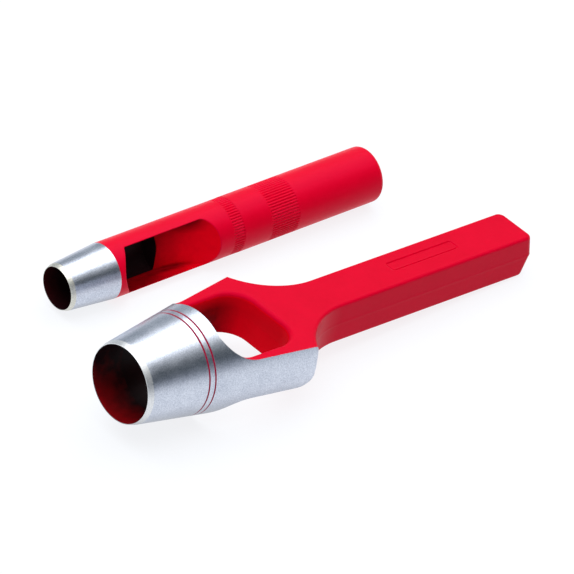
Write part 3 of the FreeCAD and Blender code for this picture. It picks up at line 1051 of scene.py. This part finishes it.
    def dress(self, made: dict[str, bpy.types.Object]) -> None:
        """Gives each piece its finish: bare steel on the turned outside, lacquer on the rest.

        Args:
            made: The pieces by name.
        """
        shop = Workshop(self.lie, Tool.ARCH)
        steel = GroundSteel().material("cup_steel", self.lie)
        bore = DarkBore().material("cup_bore", self.lie)
        edge = GroundSteel((0.86, 0.87, 0.88, 1.0), (0.66, 0.68, 0.70, 1.0), roughness=0.42)
        edge = edge.material("edge_steel", self.lie)
        cup = made["cup"]
        middle = shop.own_centres(cup)
        along, radius = middle[:, 0], np.hypot(middle[:, 1], middle[:, 2])
        inside = radius < np.where(along < self.land - 0.02, self.bore, self.relief) + 0.03
        inside |= along > self.cup - 0.02
        inside &= along > 0.05
        number = np.where(inside, 1, np.where(along < self.bevel_seen + 0.05, 2, 0))
        shop.paint(cup, (steel, bore, edge), number)
        red = RedLacquer().material("forging_lacquer")
        inner = WallLacquer().material("window_lacquer", self.painted_cavity_shade)
        for name, obj in made.items():
            if name == "cup":
                continue
            middle = shop.own_centres(obj)
            ground = (np.abs(self.cone(middle)) < 0.045) & (middle[:, 0] < self.ground_end)
            ground |= middle[:, 0] < self.cup + 0.02
            wall = (self.window(middle) < 0.12) | (np.abs(self.hollow(middle)) < 0.05)
            shop.paint(obj, (red, steel, inner), np.where(ground, 1, np.where(wall, 2, 0)))
        rings = RedLacquer((0.32, 0.006, 0.04, 1.0), (0.24, 0.004, 0.03, 1.0), forged=0.0)
        rings = rings.material("ring_lacquer")
        for node in ("arch_front_ring_mark", "arch_rear_ring_mark"):
            repaint(node, rings)


def repaint(node: str, material: bpy.types.Material) -> None:
    """Gives a CAD node's own object a new material.

    Args:
        node: The node's name.
        material: Its new material.
    """
    obj = bpy.data.objects[node]
    for slot in obj.material_slots:
        slot.material = material


@dataclass
class StraightPunch:
    """The straight punch: a turned tool with a slug window and two grip bands. Sizes in millimetres."""

    bore: float = 7.0
    relief: float = 7.5
    land: float = 10.0
    lip: float = 0.15
    bevel_length: float = 1.5
    bevel_radius: float = 7.72
    tip: float = 18.0
    barrel: float = 9.15
    grip: float = 9.2
    lip_round: float = 0.28
    slot_front: float = 23.1
    front_sag: float = 3.6
    front_lean: float = 0.575
    slot_half: float = 7.9
    slot_end: float = 61.0
    slot_floor: float = -2.3
    slot_ramp: float = 37.6
    ramp_radius: float = 23.0
    floor_corner: float = 0.6
    relief_end: float = 39.0
    drill_point: float = 2.4
    bored_end: float = 41.2
    band_front: float = 62.95
    band_front_length: float = 4.3
    band_gap: float = 10.85
    band_rear_length: float = 11.25
    grooves: int = 61
    groove_depth: float = 0.26
    length: float = 124.0
    end_round: float = 1.8
    lie: Lie = Lie((-58.39478755, 35.30277241, 9.2), yaw=-2.776, roll=76.0)

    def barrel_field(self, p: np.ndarray) -> np.ndarray:
        """Distance to the barrel between the tip and the front grip band.

        Args:
            p: Points in the tool's own frame.

        Returns:
            Signed distance at each point, negative inside.
        """
        x, z = p[..., 0], p[..., 2]
        radius = np.hypot(p[..., 1], z)
        solid = np.maximum(radius - self.barrel, np.maximum(self.tip - x, x - self.band_front))
        centre = self.slot_floor + self.ramp_radius
        ramp = np.hypot(x - self.slot_ramp, z - centre) - self.ramp_radius
        rear = np.where(z < centre, ramp, x - self.slot_end)
        floor = np.where(x < self.slot_ramp, self.slot_floor - z, rear)
        cut = round_and(floor, np.abs(p[..., 1]) - self.slot_half, self.floor_corner)
        side = p[..., 1] / self.slot_half
        front = self.slot_front + self.front_lean * (1.0 - side) - self.front_sag * (1.0 - side**2)
        cut = round_and(cut, front - x, 0.25)
        slope = self.drill_point / math.hypot(self.drill_point, self.relief)
        point = (radius / self.relief * self.drill_point + x - self.relief_end - self.drill_point) * slope
        bore = np.maximum(radius - self.relief, np.where(x > self.relief_end - 4.0, point, -9.0))
        solid = round_and(solid, -cut, self.lip_round)
        return np.maximum(solid, -bore)

    def tip_profile(self) -> Profile:
        """Profile of the cutting tip.

        Returns:
            Points that close on themselves.
        """
        return refine(
            [
                (self.tip, self.relief),
                (self.land, self.relief),
                (self.land, self.bore),
                (0.0, self.bore),
                (0.0, self.bore + self.lip),
                (self.bevel_length * 0.85, self.bevel_radius - 0.08),
                (self.bevel_length, self.bevel_radius - 0.02),
                (self.bevel_length + 0.3, self.bevel_radius + 0.02),
                (self.tip, self.barrel),
            ],
            1.0,
        )

    def end_profile(self, front: float) -> Profile:
        """Profile of the struck end with its rounded edge.

        Args:
            front: Place where the end starts.

        Returns:
            Points from the axis round to the axis.
        """
        arc = []
        for k in range(13):
            angle = math.radians(7.5 * k)
            arc.append(
                (
                    self.length - self.end_round * (1 - math.cos(angle)),
                    self.grip - self.end_round * (1 - math.sin(angle)),
                )
            )
        return refine([(front, 0.0), (front, self.grip)] + arc[::-1] + [(self.length, 0.0)], 4.0)

    def build(self) -> dict[str, bpy.types.Object]:
        """Makes the tip, the barrel, the grip bands and the struck end.

        Returns:
            The pieces by name.
        """
        shop = Workshop(self.lie, Tool.STRAIGHT)
        verts, quads = turned(self.tip_profile(), 320)
        made = {"tip": shop.piece("cutting_tip", verts, quads, ("straight_cutting_tip",))}
        wide = self.barrel
        made["barrel"] = shop.solid(
            "window_barrel",
            self.barrel_field,
            ((self.tip, -wide, -wide), (self.band_front, wide, wide)),
            (0.22, 0.22, 0.22),
            ("straight_window_barrel",),
            Slot.LACQUER,
        )
        front_end = self.band_front + self.band_front_length
        rear = front_end + self.band_gap
        rear_end = rear + self.band_rear_length
        bands = (
            ("front_grip_band", self.band_front, self.band_front_length, self.barrel),
            ("rear_grip_band", rear, self.band_rear_length, self.grip),
        )
        for name, place, length, radius in bands:
            ribs = GripBand(place, length, radius, self.grooves, self.groove_depth)
            verts, faces = ribs.mesh(name)
            made[name] = shop.piece(name, verts, faces, ("straight_" + name,))
        middle = [(front_end, 0.0), (front_end, self.grip), (rear, self.grip), (rear, 0.0)]
        verts, quads = turned(refine(middle, 4.0), 240)
        made["middle"] = shop.piece("mid_barrel", verts, quads, ("straight_mid_barrel",))
        verts, quads = turned(self.end_profile(rear_end), 240)
        made["end"] = shop.piece("striking_end", verts, quads, ("straight_striking_end",))
        return made

    def painted_cavity_shade(self, tree: Tree) -> Value:
        """Mask of painted shade on the slot's walls, where the lacquer darkens towards the bore and the
        upper wall.

        Args:
            tree: The material's tree.

        Returns:
            0 on the open end of the slot, near 1 beside the bore.
        """
        own = tree.place(self.lie)
        along, across, height = tree.axes(own)
        # Painted shade along the slot, on its upper wall, and low down on its lower wall
        near_bore = ((50.0 - along) / 16.0).clamped()
        upper = ((across - 3.0) / 4.0).clamped() * ((57.0 - along) / 6.0).clamped()
        lower = ((-6.0 - across) / 1.2).clamped() * ((2.6 - height) / 3.0).clamped()
        patch = tree.noise(own, 0.3, 2.0)
        dark = (near_bore * 0.75).more_of(upper * 0.8).more_of(lower * 0.7)
        return (dark + (patch - 0.5) * 0.3).clamped()

    def dress(self, made: dict[str, bpy.types.Object]) -> None:
        """Gives each piece its finish.

        Args:
            made: The pieces by name.
        """
        shop = Workshop(self.lie, Tool.STRAIGHT)
        steel = GroundSteel(painted_shade_start=2.0, painted_shade_fade=0.2).material("tip_steel", self.lie)
        edge = GroundSteel((0.80, 0.79, 0.73, 1.0), (0.56, 0.56, 0.50, 1.0), roughness=0.42)
        edge = edge.material("tip_edge", self.lie)
        bore = DarkBore((0.030, 0.001, 0.002, 1.0), radius=self.bore).material("tip_bore", self.lie)
        red = BarrelLacquer().material("barrel_lacquer")
        inner = WallLacquer(forged=0.03).material("slot_lacquer", self.painted_cavity_shade)
        for name, obj in made.items():
            middle = shop.own_centres(obj)
            along, radius = middle[:, 0], np.hypot(middle[:, 1], middle[:, 2])
            if name == "tip":
                wall = np.where(along < self.land - 0.02, self.bore, self.relief)
                inside = (radius < wall + 0.04) & (along > 0.05)
                number = np.where(inside, 1, np.where(along < self.bevel_length, 2, 0))
                shop.paint(obj, (steel, bore, edge), number)
            elif name == "barrel":
                inside = (radius < self.relief + 0.04) & (along < self.bored_end)
                drilled = (along > self.relief_end - 0.2) & (middle[:, 2] < self.slot_floor - 0.05)
                inside &= (radius > self.relief - 0.06) | drilled
                slot = (radius < self.barrel - 0.2) & (along > self.tip + 0.1) & (along < self.slot_end)
                shop.paint(obj, (red, bore, inner), np.where(inside, 1, np.where(slot, 2, 0)))
            else:
                shop.paint(obj, (red,))


@dataclass
class GripBand:
    """A serrated band, wrapped from a flat grid by a node tree. Sizes in millimetres."""

    place: float
    length: float
    radius: float
    grooves: int
    depth: float

    def mesh(self, name: str) -> tuple[np.ndarray, list]:
        """Runs the node tree and reads its mesh.

        Args:
            name: Name for the tree.

        Returns:
            Vertices in the tool's own frame, and faces, ends closed.
        """
        tree = self._tree(name)
        carrier = bpy.data.objects.new(name + "_carrier", bpy.data.meshes.new(name + "_carrier"))
        bpy.context.scene.collection.objects.link(carrier)
        modifier = carrier.modifiers.new("ribs", "NODES")
        modifier.node_group = tree
        wanted = {"Place": self.place, "Length": self.length, "Radius": self.radius, "Depth": self.depth}
        wanted["Grooves"] = self.grooves
        for item in tree.interface.items_tree:
            if item.item_type == "SOCKET" and item.in_out == "INPUT" and item.name in wanted:
                modifier[item.identifier] = wanted[item.name]
        graph = bpy.context.evaluated_depsgraph_get()
        graph.update()
        plain = bpy.data.meshes.new_from_object(carrier.evaluated_get(graph))
        work = bmesh.new()
        work.from_mesh(plain)
        bmesh.ops.remove_doubles(work, verts=work.verts, dist=1e-4)
        rims = [edge for edge in work.edges if edge.is_boundary]
        bmesh.ops.holes_fill(work, edges=rims, sides=0)
        bmesh.ops.recalc_face_normals(work, faces=work.faces)
        work.verts.index_update()
        verts = np.array([v.co[:] for v in work.verts])
        faces = [[v.index for v in face.verts] for face in work.faces]
        work.free()
        bpy.data.objects.remove(carrier)
        return verts, faces

    def _tree(self, name: str) -> bpy.types.NodeTree:
        """Builds the tree: a grid, bent round the axis and pressed into grooves.

        Args:
            name: Start of the tree's name.

        Returns:
            The node tree.
        """
        tree = bpy.data.node_groups.new(name + "_ribs", "GeometryNodeTree")
        face = tree.interface
        face.new_socket("Geometry", in_out="INPUT", socket_type="NodeSocketGeometry")
        for label in ("Place", "Length", "Radius", "Depth"):
            face.new_socket(label, in_out="INPUT", socket_type="NodeSocketFloat")
        face.new_socket("Grooves", in_out="INPUT", socket_type="NodeSocketInt")
        face.new_socket("Geometry", in_out="OUTPUT", socket_type="NodeSocketGeometry")
        work = NodeWork(tree)
        given = work.nodes.new("NodeGroupInput").outputs
        labels = ("Place", "Length", "Radius", "Depth", "Grooves")
        place, length, radius, depth, grooves = (Value(work, given[label]) for label in labels)
        size = {"Size X": 1.0, "Size Y": 1.0, "Vertices X": 15, "Vertices Y": grooves * 12.0 + 1.0}
        grid = work.add("GeometryNodeMeshGrid", {}, size, "Mesh")
        where = work.add("GeometryNodeInputPosition", {}, {})
        even, turn = (work.value("ShaderNodeSeparateXYZ", {}, {0: where}, axis) for axis in "XY")
        # More rows near the two ends, where the grooves run out
        bent = (even * math.pi).sine() * 0.5
        along = (bent + 0.5) * length + place
        angle = (turn + 0.5) * (2.0 * math.pi)
        groove = ((angle * grooves).cosine() * 0.5 + 0.5) ** 1.6
        ease = ((0.5 - abs(bent)) * length / 0.3).less_of(1.0)
        inner = radius - groove * ease * depth
        point = {0: along, 1: inner * angle.cosine(), 2: inner * angle.sine()}
        bend = {"Geometry": grid, "Position": work.add("ShaderNodeCombineXYZ", {}, point)}
        bent_grid = work.add("GeometryNodeSetPosition", {}, bend)
        real = work.add("GeometryNodeRealizeInstances", {}, {0: bent_grid})
        painted = work.add("GeometryNodeSetMaterial", {}, {"Geometry": real})
        work.links.new(painted, work.nodes.new("NodeGroupOutput").inputs[0])
        return tree


@dataclass(frozen=True)
class Studio:
    """Pale floor, soft lights and the camera."""

    mouth: Triple = (-82.885, -21.507, 19.280)
    camera_from_mouth: Triple = (-1245.289, -1229.330, 1321.203)
    right: Triple = (0.7419193, -0.6588948, 0.12415037)
    up: Triple = (0.3197006, 0.5104019, 0.79829909)
    focal: float = 7300.0
    frame: float = 574.0
    front_sky: tuple = (
        (0.0, (0.32, 0.35, 0.41)),
        (0.12, (0.30, 0.33, 0.39)),
        (0.28, (0.012, 0.026, 0.033)),
        (0.60, (0.012, 0.026, 0.033)),
        (0.76, (0.50, 0.51, 0.51)),
        (1.0, (0.65, 0.65, 0.65)),
    )
    back_sky: tuple = (
        (0.0, (0.36, 0.40, 0.44)),
        (0.50, (0.30, 0.34, 0.37)),
        (0.76, (0.50, 0.51, 0.51)),
        (1.0, (0.65, 0.65, 0.65)),
    )

    def camera(self) -> None:
        """Puts the camera where the photograph was taken from."""
        data = bpy.data.cameras.new("camera")
        data.sensor_width = 36.0
        data.lens = self.focal / self.frame * data.sensor_width
        data.clip_start = 0.05
        data.clip_end = 60.0
        right, up = Vector(self.right), Vector(self.up)
        back = right.cross(up)
        turn = Matrix((right, up, back)).transposed().to_4x4()
        place = (Vector(self.mouth) + Vector(self.camera_from_mouth)) / 1000.0
        obj = bpy.data.objects.new("camera", data)
        obj.matrix_world = Matrix.Translation(place) @ turn
        bpy.context.scene.collection.objects.link(obj)
        bpy.context.scene.camera = obj

    def floor(self) -> None:
        """Lays the pale floor."""
        mesh = bpy.data.meshes.new("floor")
        corners = [(-3.0, -3.0, 0.0), (3.0, -3.0, 0.0), (3.0, 3.0, 0.0), (-3.0, 3.0, 0.0)]
        mesh.from_pydata(corners, [], [(0, 1, 2, 3)])
        obj = bpy.data.objects.new("floor", mesh)
        obj.location = (0.0, 0.0, -0.0002)
        bpy.context.scene.collection.objects.link(obj)
        tree = Tree(bpy.data.materials.new("floor_paper"))
        cloud = tree.noise(tree.place(), 0.01)
        colour = tree.mix(cloud, (0.09, 0.10, 0.11, 1.0), (0.11, 0.12, 0.13, 1.0))
        glow = {"Emission_Color": (0.975, 0.98, 1.0, 1.0), "Emission_Strength": 0.86}
        obj.data.materials.append(tree.finish(Base_Color=colour, Roughness=0.85, **glow))

    def light(
        self,
        name: str,
        place: Triple,
        size: tuple[float, float],
        power: float,
        mirrored: bool = True,
    ) -> None:
        """Adds a soft rectangular light that faces the tools.

        Args:
            name: The light's name.
            place: Where it hangs, in metres.
            size: Its width and height.
            power: Its power in watts.
            mirrored: Whether it shows as a highlight.
        """
        data = bpy.data.lights.new(name, "AREA")
        data.shape = "RECTANGLE"
        data.size, data.size_y = size
        data.energy = power
        obj = bpy.data.objects.new(name, data)
        obj.location = place
        obj.visible_glossy = mirrored
        bpy.context.scene.collection.objects.link(obj)

    def surroundings(self) -> None:
        """Surrounds the set with a pale horizon, darker walls and a soft ceiling."""
        tree = Tree(bpy.data.worlds.new("studio"), "Background")
        _, away, up = tree.axes(tree.add("ShaderNodeTexCoord", {}, {}, "Generated"))
        side = (away * 2.5 + 0.5).clamped()
        colour = tree.mix(side, tree.ramp(up, self.front_sky), tree.ramp(up, self.back_sky))
        bpy.context.scene.world = tree.finish(Color=colour)

    def build(self) -> None:
        """Sets up the floor, the lights, the surroundings and the camera."""
        self.floor()
        self.light("top", (0.12, 0.26, 1.15), (1.75, 1.42), 17.5)
        self.light("fill", (0.12, 0.30, 1.15), (2.4, 2.2), 25.0, False)
        self.surroundings()
        scene = bpy.context.scene
        scene.view_settings.view_transform = "Standard"
        scene.view_settings.look = "None"
        self.camera()


def main() -> None:
    """Loads the frame, builds and dresses both tools, and sets up the studio."""
    logging.basicConfig(level=logging.INFO, format="%(name)s: %(message)s")
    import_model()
    Studio().build()
    for tool in (ArchPunch(), StraightPunch()):
        made = tool.build()
        tool.dress(made)
        LOG.info("%s: %d pieces", type(tool).__name__, len(made))


if __name__ == "__main__":
    main()
